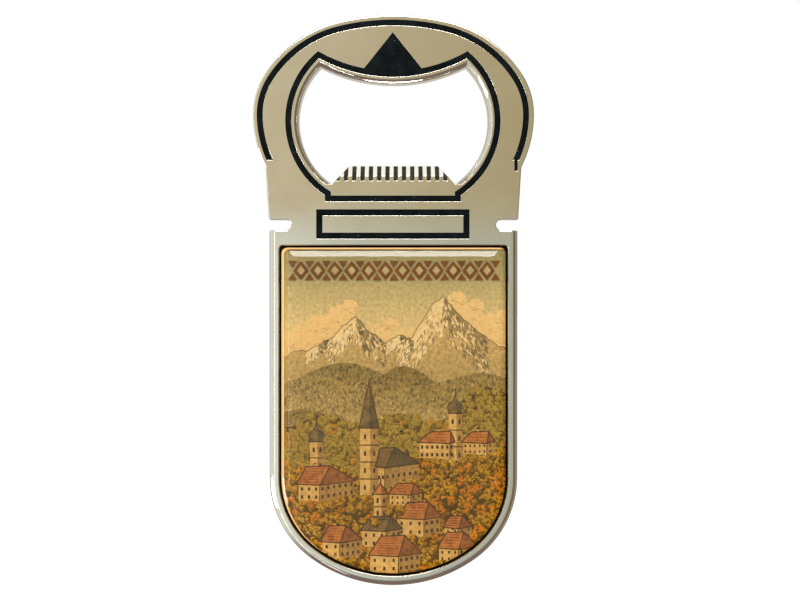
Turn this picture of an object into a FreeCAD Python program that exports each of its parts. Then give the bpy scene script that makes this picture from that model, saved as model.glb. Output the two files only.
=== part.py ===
"""Souvenir bottle opener: a plated zinc casting with enamel lines, a domed picture and a rear magnet.

Body coordinates: X is the width, the front faces -Y, and Z is the height above the handle's tip.
Each body's Placement then moves the origin to the middle of the magnet's rear face.
"""
import math
import os

import FreeCAD
import Part
import Sketcher

# Driving dimensions in millimetres, each one a named cell of the sheet.
DIMENSIONS = {
    # Overall sizes of the casting
    "overall_height": 105.0,
    "casting_depth": 4.4,
    # Head: three tangent arcs above its widest line, one below it
    "head_half_width": 25.87,
    "head_widest_height": 86.75,
    "head_top_radius": 43.6,
    "head_shoulder_radius": 22.5,
    "head_side_radius": 13.7,
    "head_lower_radius": 21.5,
    "head_foot_height": 77.0,
    "neck_corner_radius": 1.0,
    # Handle: straight sides that end in a three-centred arch
    "handle_half_width": 22.88,
    "arch_corner_radius": 18.36,
    "arch_tip_radius": 25.9,
    # Side slots in the neck
    "slot_height": 66.4,
    "slot_width": 2.0,
    "slot_length": 4.0,
    # Mouth: two side arcs and a lip that bows into the opening
    "mouth_side_radius": 14.15,
    "mouth_side_centre": 3.3,
    "mouth_middle_height": 85.6,
    "mouth_floor_height": 73.9,
    "lip_radius": 30.0,
    "lip_height": 92.35,
    # Serrated tongue that grips under a crown cap
    "tongue_height": 77.45,
    "tongue_half_width": 8.25,
    "tongue_slope_start": 75.4,
    "tongue_edge_depth": 1.0,
    "tongue_root": 1.0,
    "tongue_cut_width": 24.0,
    "tooth_pitch": 1.526,
    "tooth_gap": 0.8,
    "tooth_gap_depth": 0.9,
    "tooth_gap_reach": 0.5,
    "tooth_first_gap": -10.27,
    # Rounded edges of the casting
    "head_rounding": 0.22,
    "handle_rounding": 1.2,
    "mouth_rounding": 1.25,
    "rear_rounding": 0.2,
    "slot_rounding": 0.2,
    # Enamel lines
    "enamel_shift": -0.1,
    "enamel_width": 1.1,
    "enamel_depth": 0.5,
    "enamel_fill": 0.38,
    "head_line_inset": 0.83,
    "head_line_end_height": 78.3,
    "stub_centre": 22.65,
    "stub_width": 0.6,
    "stub_foot_height": 76.3,
    "mouth_line_offset": 1.25,
    "mouth_line_foot_half": 12.5,
    "mouth_line_foot_height": 70.7,
    "pointer_height": 101.85,
    "pointer_slope": 1.25,
    "nameplate_half_width": 14.1,
    "nameplate_middle_height": 66.55,
    "nameplate_half_height": 2.72,
    "nameplate_line": 1.15,
    # Picture seat, and what is laid in it
    "seat_rim": 1.85,
    "seat_top_height": 62.65,
    "seat_corner_radius": 0.7,
    "seat_depth": 1.3,
    "seat_bevel": 0.15,
    "picture_gap": 0.4,
    "picture_corner_radius": 1.1,
    "adhesive_inset": 0.3,
    "adhesive_depth": 0.12,
    "print_depth": 0.25,
    "dome_wall": 0.4,
    "dome_rise": 1.05,
    "dome_shoulder": 2.3,
    # Rear magnet and its pocket
    "magnet_rim": 5.0,
    "magnet_top_height": 58.0,
    "magnet_corner_radius": 3.0,
    "magnet_gap": 0.25,
    "magnet_depth": 1.5,
    "magnet_rounding": 0.15,
    "magnet_proud": 0.3,
    "magnet_adhesive_depth": 0.15,
    "mount_height": 31.5,
}
# How far a cutting outline runs past the material that it clears
CLEARANCE = 2.0
# Largest distance, in millimetres, between a point and the plane that it is said to lie in
TOLERANCE = 1e-5
TOOTH_GAPS = 14
ROUNDING_STEPS = 3
ROUNDING_START = math.radians(20)
DOME_STEPS = 4
DOME_END = math.radians(86)

doc = FreeCAD.newDocument("bottle_opener")
sheet = doc.addObject("Spreadsheet::Sheet", "Sizes")
for row, (alias, value) in enumerate(DIMENSIONS.items(), start=1):
    sheet.set(f"A{row}", alias)
    sheet.set(f"B{row}", str(value))
    sheet.setAlias(f"B{row}", alias)
doc.recompute()


def size(alias):
    """Read one driving dimension from the sheet."""
    return float(sheet.get(alias))


# ---------------------------------------------------------------- plane geometry

def circles_meet(centre_a, radius_a, centre_b, radius_b):
    """The two points where two circles cross."""
    across = (centre_b[0] - centre_a[0], centre_b[1] - centre_a[1])
    gap = math.hypot(*across)
    along = (radius_a**2 - radius_b**2 + gap**2) / (2 * gap)
    aside = math.sqrt(radius_a**2 - along**2)
    unit = (across[0] / gap, across[1] / gap)
    foot = (centre_a[0] + along * unit[0], centre_a[1] + along * unit[1])
    return [(foot[0] - side * aside * unit[1], foot[1] + side * aside * unit[0]) for side in (-1, 1)]


def toward(centre, through, radius):
    """The point at a radius from a centre, in the direction of another point."""
    span = math.hypot(through[0] - centre[0], through[1] - centre[1])
    return (centre[0] + (through[0] - centre[0]) * radius / span,
            centre[1] + (through[1] - centre[1]) * radius / span)


def line(begin, end):
    return {"begin": begin, "end": end}


def arc(centre, radius, begin, end, clockwise=True):
    return {"centre": centre, "radius": radius, "begin": begin, "end": end, "clockwise": clockwise}


def flip(segment):
    """The mirror image of a segment across the middle plane, walked the other way."""
    def mirrored(point):
        return (-point[0], point[1])
    image = dict(segment, begin=mirrored(segment["end"]), end=mirrored(segment["begin"]))
    if "centre" in segment:
        image["centre"] = mirrored(segment["centre"])
    return image


def both_sides(right_half):
    """Close a loop from its right half, which runs from the top of the middle plane to its foot."""
    return right_half + [flip(segment) for segment in reversed(right_half)]


def moved(loop, shift):
    """A loop moved along X."""
    def along(point):
        return (point[0] + shift, point[1])
    result = []
    for segment in loop:
        copy = dict(segment, begin=along(segment["begin"]), end=along(segment["end"]))
        if "centre" in segment:
            copy["centre"] = along(segment["centre"])
        result.append(copy)
    return result


def polygon(points):
    return [line(points[i], points[(i + 1) % len(points)]) for i in range(len(points))]


# ---------------------------------------------------------------- outlines

def head_arcs(inset, foot_height):
    """The right side of the head, from the top to a height below its widest line.

    Three arcs share tangents down to the widest line: the middle one touches the top arc and the
    side arc, so its centre is as far from theirs as the radii differ.
    """
    top_centre = (0.0, size("overall_height") - size("head_top_radius"))
    side_centre = (size("head_half_width") - size("head_side_radius"), size("head_widest_height"))
    meetings = circles_meet(top_centre, size("head_top_radius") - size("head_shoulder_radius"),
                            side_centre, size("head_shoulder_radius") - size("head_side_radius"))
    shoulder_centre = max(meetings, key=lambda point: point[1])
    lower_centre = (size("head_half_width") - size("head_lower_radius"), size("head_widest_height"))
    top_radius = size("head_top_radius") - inset
    shoulder_radius = size("head_shoulder_radius") - inset
    side_radius = size("head_side_radius") - inset
    lower_radius = size("head_lower_radius") - inset
    crown = (0.0, size("overall_height") - inset)
    shoulder = toward(top_centre, shoulder_centre, top_radius)
    cheek = toward(shoulder_centre, side_centre, shoulder_radius)
    widest = (size("head_half_width") - inset, size("head_widest_height"))
    drop = size("head_widest_height") - foot_height
    foot = (lower_centre[0] + math.sqrt(lower_radius**2 - drop**2), foot_height)
    return [arc(top_centre, top_radius, crown, shoulder),
            arc(shoulder_centre, shoulder_radius, shoulder, cheek),
            arc(side_centre, side_radius, cheek, widest),
            arc(lower_centre, lower_radius, widest, foot)]


def arch_arcs(inset):
    """The right side of the handle's arched end, from its springing line to the tip."""
    corner_centre_x = size("handle_half_width") - size("arch_corner_radius")
    difference = size("arch_tip_radius") - size("arch_corner_radius")
    springing = size("arch_tip_radius") - math.sqrt(difference**2 - corner_centre_x**2)
    corner_centre = (corner_centre_x, springing)
    tip_centre = (0.0, size("arch_tip_radius"))
    tip_radius = size("arch_tip_radius") - inset
    join = toward(tip_centre, corner_centre, tip_radius)
    side = (size("handle_half_width") - inset, springing)
    return [arc(corner_centre, size("arch_corner_radius") - inset, side, join),
            arc(tip_centre, tip_radius, join, (0.0, inset))]


def casting_outline():
    head = head_arcs(0.0, size("head_foot_height"))
    arch = arch_arcs(0.0)
    neck = (size("handle_half_width"), size("slot_height"))
    sides = [line(head[-1]["end"], neck), line(neck, arch[0]["begin"])]
    return both_sides(head + sides + arch)


def arch_panel(inset, top, corner):
    """A panel with the handle's outline, a straight top edge and rounded top corners."""
    half = size("handle_half_width") - inset
    arch = arch_arcs(inset)
    right_half = [line((0.0, top), (half - corner, top)),
                  arc((half - corner, top - corner), corner, (half - corner, top), (half, top - corner)),
                  line((half, top - corner), arch[0]["begin"])]
    return both_sides(right_half + arch)


def slot_outline(side):
    """One side slot: parallel edges, a round inner end, and an outer end past the casting."""
    half = size("slot_width") / 2
    middle = size("slot_height")
    outer = size("handle_half_width") + size("slot_length")
    inner = size("handle_half_width") - size("slot_length") + half
    loop = [line((outer, middle + half), (outer, middle - half)),
            line((outer, middle - half), (inner, middle - half)),
            arc((inner, middle), half, (inner, middle - half), (inner - half, middle)),
            arc((inner, middle), half, (inner - half, middle), (inner, middle + half)),
            line((inner, middle + half), (outer, middle + half))]
    return loop if side > 0 else [flip(segment) for segment in reversed(loop)]


def mouth_arcs(offset):
    """The lip and the side of the mouth's right half, an even distance outside the clear opening."""
    lip_centre = (0.0, size("lip_height") + size("lip_radius"))
    lip_radius = size("lip_radius") - offset
    side_centre = (size("mouth_side_centre"), size("mouth_middle_height"))
    side_radius = size("mouth_side_radius") + offset
    corner = max(circles_meet(side_centre, side_radius, lip_centre, lip_radius))
    return lip_centre, lip_radius, side_centre, side_radius, corner


def mouth_opening(offset=0.0):
    """The mouth's outline, or one an even distance outside its lip and sides."""
    lip_centre, lip_radius, side_centre, side_radius, corner = mouth_arcs(offset)
    floor = (mouth_floor_half(offset), size("mouth_floor_height"))
    return both_sides([
        arc(lip_centre, lip_radius, (0.0, lip_centre[1] - lip_radius), corner, clockwise=False),
        arc(side_centre, side_radius, corner, floor),
        line(floor, (0.0, size("mouth_floor_height")))])


def mouth_floor_half(offset=0.0):
    drop = size("mouth_middle_height") - size("mouth_floor_height")
    return size("mouth_side_centre") + math.sqrt((size("mouth_side_radius") + offset)**2 - drop**2)


def mouth_line(offset, foot_half, foot_height, with_pointer):
    """One edge of the enamel line round the mouth; the outer edge also takes in the pointer."""
    lip_centre, lip_radius, side_centre, side_radius, corner = mouth_arcs(offset)
    across = foot_half - side_centre[0]
    step = (foot_half, side_centre[1] - math.sqrt(side_radius**2 - across**2))
    tail = [arc(side_centre, side_radius, corner, step),
            line(step, (foot_half, foot_height)),
            line((foot_half, foot_height), (0.0, foot_height))]
    if not with_pointer:
        lip_middle = (0.0, lip_centre[1] - lip_radius)
        return both_sides([arc(lip_centre, lip_radius, lip_middle, corner, clockwise=False)] + tail)
    # The pointer's straight side runs down from its apex until it meets the lip's line.
    rise = size("pointer_height") - lip_centre[1]
    slope = size("pointer_slope")
    discriminant = (rise * slope)**2 - (1 + slope**2) * (rise**2 - lip_radius**2)
    reach = (rise * slope + math.sqrt(discriminant)) / (1 + slope**2)
    base = (reach, size("pointer_height") - slope * reach)
    return both_sides([line((0.0, size("pointer_height")), base),
                       arc(lip_centre, lip_radius, base, corner, clockwise=False)] + tail)


def enamel_mouth_loops():
    inner = size("mouth_line_offset")
    width = size("enamel_width")
    foot_half = size("mouth_line_foot_half")
    foot = size("mouth_line_foot_height")
    return [mouth_line(inner + width, foot_half, foot, with_pointer=True),
            mouth_line(inner, foot_half - width, foot + width, with_pointer=False)]


def enamel_head_loops():
    """A band inside the head's outline; its right end runs on in a short straight stub."""
    inset = size("head_line_inset")
    foot = size("head_line_end_height")
    outer = head_arcs(inset, foot)
    inner = head_arcs(inset + size("enamel_width"), foot)
    right_inner = [dict(segment, begin=segment["end"], end=segment["begin"], clockwise=False)
                   for segment in reversed(inner)]
    stub_left = size("stub_centre") - size("stub_width") / 2
    stub_right = size("stub_centre") + size("stub_width") / 2
    stub_foot = size("stub_foot_height")
    right_end = [line(outer[-1]["end"], (stub_right, foot)),
                 line((stub_right, foot), (stub_right, stub_foot)),
                 line((stub_right, stub_foot), (stub_left, stub_foot)),
                 line((stub_left, stub_foot), (stub_left, foot)),
                 line((stub_left, foot), inner[-1]["end"])]
    left_inner = [flip(segment) for segment in reversed(right_inner)]
    left_outer = [flip(segment) for segment in reversed(outer)]
    left_end = [line(left_inner[-1]["end"], left_outer[0]["begin"])]
    return [outer + right_end + right_inner + left_inner + left_end + left_outer]


def nameplate_loops():
    loops = []
    for inset in (0.0, size("nameplate_line")):
        half = size("nameplate_half_width") - inset
        low = size("nameplate_middle_height") - size("nameplate_half_height") + inset
        high = size("nameplate_middle_height") + size("nameplate_half_height") - inset
        loops.append(polygon([(-half, high), (half, high), (half, low), (-half, low)]))
    return loops


def shifted(loops):
    """The enamel lines all sit slightly left of the casting's middle."""
    return [moved(loop, size("enamel_shift")) for loop in loops]


# ---------------------------------------------------------------- bodies, sketches and features

def new_body(label):
    body = doc.addObject("PartDesign::Body", label)
    body.Label = label
    body.setExpression("Placement.Base.z", "-Sizes.mount_height")
    return body


def origin_feature(body, role):
    return next(item for item in body.Origin.OriginFeatures if item.Role == role)


def add_loop(sketch, loop):
    """Add one closed loop of lines and arcs, and join their ends."""
    placed = []
    for segment in loop:
        begin = FreeCAD.Vector(*segment["begin"], 0)
        end = FreeCAD.Vector(*segment["end"], 0)
        if "centre" not in segment:
            placed.append((sketch.addGeometry(Part.LineSegment(begin, end), False), 1, 2))
            continue
        centre = FreeCAD.Vector(*segment["centre"], 0)
        first, last = (end, begin) if segment["clockwise"] else (begin, end)
        start_angle = math.atan2(first.y - centre.y, first.x - centre.x)
        end_angle = math.atan2(last.y - centre.y, last.x - centre.x)
        if end_angle < start_angle:
            end_angle += 2 * math.pi
        circle = Part.Circle(centre, FreeCAD.Vector(0, 0, 1), segment["radius"])
        index = sketch.addGeometry(Part.ArcOfCircle(circle, start_angle, end_angle), False)
        placed.append((index, 2, 1) if segment["clockwise"] else (index, 1, 2))
    for here, following in zip(placed, placed[1:] + placed[:1]):
        sketch.addConstraint(Sketcher.Constraint("Coincident", here[0], here[2], following[0], following[1]))


def add_sketch(body, name, loops, offset, role="XZ_Plane"):
    """A sketch on one of the body's own planes, moved along the plane's normal by an expression."""
    sketch = body.newObject("Sketcher::SketchObject", name)
    sketch.AttachmentSupport = (origin_feature(body, role), [""])
    sketch.MapMode = "FlatFace"
    sketch.setExpression("AttachmentOffset.Base.z", offset)
    for loop in loops:
        add_loop(sketch, loop)
    doc.recompute()
    return sketch


def pad(body, name, sketch, length):
    feature = body.newObject("PartDesign::Pad", name)
    feature.Profile = sketch
    feature.setExpression("Length", length)
    doc.recompute()
    return feature


def pocket(body, name, sketch, length=None, from_rear=False, midplane=False):
    """Cut a sketch into the body; with no length, cut right through. The volume has to fall."""
    before = body.Shape.Volume
    feature = body.newObject("PartDesign::Pocket", name)
    feature.Profile = sketch
    if length is None:
        feature.Type = "ThroughAll"
    else:
        feature.setExpression("Length", length)
    feature.Reversed = from_rear
    feature.Midplane = midplane
    doc.recompute()
    if feature.Shape.Volume >= before:
        raise RuntimeError(f"{name} cuts nothing")
    return feature


def edges_in_plane(shape, depth, wanted):
    """Names of the edges that lie at a depth in front of the origin and whose middle is wanted."""
    names = []
    for index, edge in enumerate(shape.Edges, start=1):
        middle = edge.valueAt((edge.FirstParameter + edge.LastParameter) / 2)
        ends = [vertex.Point for vertex in edge.Vertexes]
        flat = all(abs(point.y + depth) < TOLERANCE for point in ends + [middle])
        if flat and wanted(middle.x, middle.z):
            names.append(f"Edge{index}")
    return names


def middles_in_front(shape):
    """Middles of the edges that lie in the casting's front plane."""
    middles = []
    edges_in_plane(shape, front_depth(), lambda x, z: middles.append((x, z)))
    return middles


def edges_through(shape, height):
    """Names of the outline's corner edges that run front to back at a height."""
    names = []
    for index, edge in enumerate(shape.Edges, start=1):
        ends = [vertex.Point for vertex in edge.Vertexes]
        level = all(abs(point.z - height) < TOLERANCE for point in ends)
        outside = all(abs(point.x) > size("handle_half_width") for point in ends)
        if level and outside:
            names.append(f"Edge{index}")
    return names


def dress(body, kind, name, base, names, **expressions):
    """A fillet or chamfer on named edges of a feature, with its sizes bound to the sheet."""
    if not names:
        raise RuntimeError(f"{name} has no edges")
    feature = body.newObject(f"PartDesign::{kind}", name)
    feature.Base = (base, names)
    for prop, expression in expressions.items():
        feature.setExpression(prop, expression)
    doc.recompute()
    if "Invalid" in feature.State or not feature.Shape.isValid():
        raise RuntimeError(f"{name} failed on {len(names)} edges")
    return feature


REAR = "Sizes.magnet_proud"
FRONT = "Sizes.magnet_proud + Sizes.casting_depth"
SEAT_FLOOR = "Sizes.magnet_proud + Sizes.casting_depth - Sizes.seat_depth"
ENAMEL_FLOOR = "Sizes.magnet_proud + Sizes.casting_depth - Sizes.enamel_depth"


def front_depth():
    return size("magnet_proud") + size("casting_depth")


def in_slot(height):
    return abs(height - size("slot_height")) < size("slot_width") / 2 + TOLERANCE


def on_outline(x, z):
    """True for edges of the casting's outer outline, not those of the mouth or of the slots."""
    mouth_reach = size("mouth_side_centre") + size("mouth_side_radius") + size("mouth_rounding")
    mouth = math.hypot(x, z - size("mouth_middle_height")) < mouth_reach + TOLERANCE
    return not mouth and not in_slot(z)


def add_mouth(body):
    """The mouth, whose lip and sides are rounded over at the front.

    The rounding is a loft through outlines that shrink along a circle. It meets the front face at
    an angle, and the straight walls start where it ends.
    """
    radius = size("mouth_rounding")
    sections = []
    for step in range(ROUNDING_STEPS + 1):
        turn = ROUNDING_START + (math.pi / 2 - ROUNDING_START) * step / ROUNDING_STEPS
        outline = mouth_opening(radius * (1 - math.sin(turn)))
        share = math.cos(ROUNDING_START) - math.cos(turn)
        level = f"{FRONT} - Sizes.mouth_rounding * {share:.6f}"
        sections.append(add_sketch(body, f"mouth_rounding_section_{step}", [outline], level))
    before = body.Shape.Volume
    loft = body.newObject("PartDesign::SubtractiveLoft", "mouth_rounding")
    loft.Profile = sections[0]
    loft.Sections = sections[1:]
    doc.recompute()
    if loft.Shape.Volume >= before:
        raise RuntimeError("the mouth's rounding cuts nothing")
    walls = add_sketch(body, "mouth_outline", [mouth_opening()], level)
    pocket(body, "mouth", walls)


def add_tongue(body):
    """The tongue: a tapered pad on the mouth's floor, a sloping face, and a row of tooth gaps."""
    floor = size("mouth_floor_height")
    floor_half = mouth_floor_half()
    root = floor - size("tongue_root")
    top = size("tongue_height")
    top_half = size("tongue_half_width")
    plan = add_sketch(body, "tongue_plan", [polygon([
        (-top_half, top), (top_half, top), (floor_half, floor), (floor_half, root),
        (-floor_half, root), (-floor_half, floor)])], REAR)
    pad(body, "tongue", plan, "Sizes.casting_depth")

    # Seen from the side, y runs along the sketch's first axis and the height along its second.
    front = -front_depth()
    edge = -(size("magnet_proud") + size("tongue_edge_depth"))
    slope_start = size("tongue_slope_start")
    clear_height = top + CLEARANCE
    clear_front = front - CLEARANCE
    slope = add_sketch(body, "tongue_slope_section", [polygon([
        (front, slope_start), (edge, top), (edge, clear_height),
        (clear_front, clear_height), (clear_front, slope_start)])], "0", role="YZ_Plane")
    pocket(body, "tongue_slope", slope, "Sizes.tongue_cut_width", midplane=True)

    # A gap's floor runs nearly level with the slope, and ends behind the tongue's front edge.
    gap_start = slope_start - size("tooth_gap_depth")
    gap_end = edge + size("tooth_gap_reach")
    gap = add_sketch(body, "tooth_gap_section", [polygon([
        (front, gap_start), (gap_end, top), (gap_end, clear_height),
        (clear_front, clear_height), (clear_front, gap_start)])], "Sizes.tooth_first_gap", role="YZ_Plane")
    first = pocket(body, "tooth_gap", gap, "Sizes.tooth_gap", midplane=True)
    row = body.newObject("PartDesign::LinearPattern", "tooth_gaps")
    row.Originals = [first]
    row.Direction = (origin_feature(body, "X_Axis"), [""])
    row.Occurrences = TOOTH_GAPS
    row.setExpression("Length", f"Sizes.tooth_pitch * {TOOTH_GAPS - 1}")
    body.Tip = row
    doc.recompute()


def make_casting():
    body = new_body("opener_body")
    outline = add_sketch(body, "casting_outline", [casting_outline()], REAR)
    pad(body, "casting", outline, "Sizes.casting_depth")
    add_mouth(body)
    corners = edges_through(body.Tip.Shape, size("head_foot_height"))
    dress(body, "Fillet", "neck_corners", body.Tip, corners, Radius="Sizes.neck_corner_radius")
    slots = add_sketch(body, "slot_outlines", [slot_outline(1), slot_outline(-1)], FRONT)
    blank = pocket(body, "side_slots", slots)

    handle = edges_in_plane(blank.Shape, front_depth(),
                            lambda x, z: on_outline(x, z) and z < size("slot_height"))
    blank = dress(body, "Fillet", "handle_rounding", blank, handle, Radius="Sizes.handle_rounding")
    head = edges_in_plane(blank.Shape, front_depth(),
                          lambda x, z: on_outline(x, z) and z > size("slot_height"))
    blank = dress(body, "Fillet", "head_rounding", blank, head, Radius="Sizes.head_rounding")
    rear = edges_in_plane(blank.Shape, size("magnet_proud"), on_outline)
    blank = dress(body, "Fillet", "rear_rounding", blank, rear, Radius="Sizes.rear_rounding")
    slot_edges = edges_in_plane(blank.Shape, front_depth(), lambda x, z: in_slot(z))
    dress(body, "Fillet", "slot_rounding", blank, slot_edges, Radius="Sizes.slot_rounding")

    add_tongue(body)

    seat = add_sketch(body, "seat_outline", [arch_panel(
        size("seat_rim"), size("seat_top_height"), size("seat_corner_radius"))], FRONT)
    outside = middles_in_front(body.Tip.Shape)
    blank = pocket(body, "picture_seat", seat, "Sizes.seat_depth")
    rim = edges_in_plane(blank.Shape, front_depth(),
                         lambda x, z: all(math.hypot(x - u, z - v) > TOLERANCE for u, v in outside))
    dress(body, "Chamfer", "seat_bevel", blank, rim, Size="Sizes.seat_bevel")
    recess = add_sketch(body, "magnet_pocket_outline", [arch_panel(
        size("magnet_rim"), size("magnet_top_height"), size("magnet_corner_radius"))], REAR)
    pocket(body, "magnet_pocket", recess,
           "Sizes.magnet_depth + Sizes.magnet_adhesive_depth - Sizes.magnet_proud", from_rear=True)
    for name, loops in ENAMEL.items():
        lines = add_sketch(body, f"{name}_groove_outline", shifted(loops()), FRONT)
        pocket(body, f"{name}_groove", lines, "Sizes.enamel_depth")
    return body


ENAMEL = {
    "enamel_head_arc": enamel_head_loops,
    "enamel_mouth_outline": enamel_mouth_loops,
    "enamel_nameplate_frame": nameplate_loops,
}


def make_enamel(name):
    """Hardened enamel in one of the casting's grooves, a little below the plated surface."""
    body = new_body(name)
    outline = add_sketch(body, f"{name}_outline", shifted(ENAMEL[name]()), ENAMEL_FLOOR)
    pad(body, f"{name}_fill", outline, "Sizes.enamel_fill")
    return body


def make_seat_layer(name, extra_inset, floor, depth):
    """A sheet with the seat's outline, laid at a given level of the seat."""
    inset = size("seat_rim") + size("picture_gap") + extra_inset
    corner = size("picture_corner_radius")
    top = size("seat_top_height") - size("picture_gap") - extra_inset
    body = new_body(name)
    outline = add_sketch(body, f"{name}_outline", [arch_panel(inset, top, corner)], floor)
    pad(body, f"{name}_sheet", outline, depth)
    return body


def make_picture():
    """Adhesive, print and clear dome, from the seat's floor outwards."""
    adhesive = make_seat_layer("picture_adhesive", size("adhesive_inset"), SEAT_FLOOR,
                               "Sizes.adhesive_depth")
    print_floor = SEAT_FLOOR + " + Sizes.adhesive_depth"
    print_sheet = make_seat_layer("picture_print", 0.0, print_floor, "Sizes.print_depth")
    dome_floor = print_floor + " + Sizes.print_depth"
    dome = make_seat_layer("picture_dome", 0.0, dome_floor, "Sizes.dome_wall")
    add_dome_shoulder(dome, dome_floor + " + Sizes.dome_wall")
    return [adhesive, print_sheet, dome]


def add_dome_shoulder(dome, wall_top):
    """The dome's shoulder: a loft whose outlines shrink along a quarter of an ellipse."""
    sections = []
    for step in range(DOME_STEPS + 1):
        turn = DOME_END * step / DOME_STEPS
        shrink = size("dome_shoulder") * (1 - math.cos(turn))
        outline = arch_panel(size("seat_rim") + size("picture_gap") + shrink,
                             size("seat_top_height") - size("picture_gap") - shrink,
                             size("picture_corner_radius"))
        level = f"{wall_top} + Sizes.dome_rise * {math.sin(turn):.6f}"
        sections.append(add_sketch(dome, f"dome_section_{step}", [outline], level))
    loft = dome.newObject("PartDesign::AdditiveLoft", "dome_shoulder")
    loft.Profile = sections[0]
    loft.Sections = sections[1:]
    doc.recompute()


def make_magnet():
    """The magnet sheet and its adhesive, which share the rear pocket's outline less a small gap."""
    inset = size("magnet_rim") + size("magnet_gap")
    top = size("magnet_top_height") - size("magnet_gap")
    corner = size("magnet_corner_radius") - size("magnet_gap")
    magnet = new_body("rear_magnet")
    outline = add_sketch(magnet, "magnet_outline", [arch_panel(inset, top, corner)], "0")
    sheet_pad = pad(magnet, "magnet_sheet", outline, "Sizes.magnet_depth")
    rim = edges_in_plane(sheet_pad.Shape, 0.0, lambda x, z: True)
    dress(magnet, "Fillet", "magnet_rounding", sheet_pad, rim, Radius="Sizes.magnet_rounding")
    adhesive = new_body("magnet_adhesive")
    outline = add_sketch(adhesive, "magnet_adhesive_outline", [arch_panel(inset, top, corner)],
                         "Sizes.magnet_depth")
    pad(adhesive, "magnet_adhesive_sheet", outline, "Sizes.magnet_adhesive_depth")
    return [magnet, adhesive]


parts = [make_casting()]
parts += [make_enamel(name) for name in ENAMEL]
parts += make_picture()
parts += make_magnet()
doc.recompute()

for item in doc.Objects:
    if "Invalid" in item.State or "Error" in item.State:
        raise RuntimeError(f"{item.Name} failed: {item.State}")
for part in parts:
    if part.Shape.isNull() or not part.Shape.isValid():
        raise RuntimeError(f"{part.Label} has no valid shape")

os.makedirs("parts", exist_ok=True)
for part in parts:
    part.Shape.exportStep(f"parts/{part.Label}.step")
    print(part.Label, len(part.Shape.Solids), "solid,", round(part.Shape.Volume, 1), "mm3")
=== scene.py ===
"""Looks of the souvenir bottle opener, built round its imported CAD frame."""

import math
import random

import bpy
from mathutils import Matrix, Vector


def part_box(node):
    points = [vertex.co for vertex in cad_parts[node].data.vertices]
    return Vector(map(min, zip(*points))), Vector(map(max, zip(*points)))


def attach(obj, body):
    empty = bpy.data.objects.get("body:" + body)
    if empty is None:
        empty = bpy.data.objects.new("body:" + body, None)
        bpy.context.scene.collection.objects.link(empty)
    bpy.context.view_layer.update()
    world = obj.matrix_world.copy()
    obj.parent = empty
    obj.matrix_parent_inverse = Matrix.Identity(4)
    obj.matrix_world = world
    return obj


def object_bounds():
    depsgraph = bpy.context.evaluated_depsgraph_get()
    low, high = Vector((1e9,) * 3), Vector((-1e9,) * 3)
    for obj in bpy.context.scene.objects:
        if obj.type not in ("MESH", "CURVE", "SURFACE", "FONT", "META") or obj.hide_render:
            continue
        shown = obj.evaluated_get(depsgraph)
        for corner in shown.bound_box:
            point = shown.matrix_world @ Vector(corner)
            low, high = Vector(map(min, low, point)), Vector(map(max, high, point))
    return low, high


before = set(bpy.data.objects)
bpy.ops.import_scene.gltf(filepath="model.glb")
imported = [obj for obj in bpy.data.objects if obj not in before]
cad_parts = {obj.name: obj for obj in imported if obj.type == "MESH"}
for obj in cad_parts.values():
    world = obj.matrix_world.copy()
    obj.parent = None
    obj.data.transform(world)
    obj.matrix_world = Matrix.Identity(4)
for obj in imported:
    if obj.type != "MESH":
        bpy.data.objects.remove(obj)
cad_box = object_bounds()
MM = 0.001

body_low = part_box("opener_body")[0]
front_y = body_low.y
handle_tip = body_low.z


# ---------------------------------------------------------------- shader helpers

class NodeTree:
    """A node tree, with short calls to add and join nodes."""

    def __init__(self, tree):
        self.tree = tree

    def node(self, kind, **settings):
        made = self.tree.nodes.new(f"ShaderNode{kind}")
        for name, value in settings.items():
            setattr(made, name, value)
        return made

    def join(self, source, target):
        self.tree.links.new(source, target)

    def feed(self, value, socket):
        """Join an output to a socket, or give the socket a plain value."""
        if isinstance(value, bpy.types.NodeSocket):
            self.join(value, socket)
        else:
            socket.default_value = value

    def math(self, operation, *values):
        made = self.node("Math", operation=operation)
        for index, value in enumerate(values):
            self.feed(value, made.inputs[index])
        return made.outputs[0]

    def span(self, value, low, high):
        """Where a value lies between low and high, from 0 to 1."""
        made = self.node("MapRange")
        made.inputs["From Min"].default_value = low
        made.inputs["From Max"].default_value = high
        self.join(value, made.inputs["Value"])
        return made.outputs["Result"]

    def mix(self, factor, first, second, blend="MIX"):
        """Two colours blended; any of the three may be an output or a plain value."""
        made = self.node("Mix", data_type="RGBA", blend_type=blend)
        for socket, value in (("Factor", factor), ("A", first), ("B", second)):
            self.feed(value, made.inputs[socket])
        return made.outputs["Result"]

    def ramp(self, value, *stops):
        """Colours or greys at places between 0 and 1."""
        made = self.node("ValToRGB")
        points = made.color_ramp.elements
        while len(points) < len(stops):
            points.new(0.5)
        for point, (place, colour) in zip(points, stops):
            point.position = place
            point.color = grey(colour) if isinstance(colour, (int, float)) else (*colour, 1)
        self.join(value, made.inputs["Fac"])
        return made.outputs["Color"]


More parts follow.
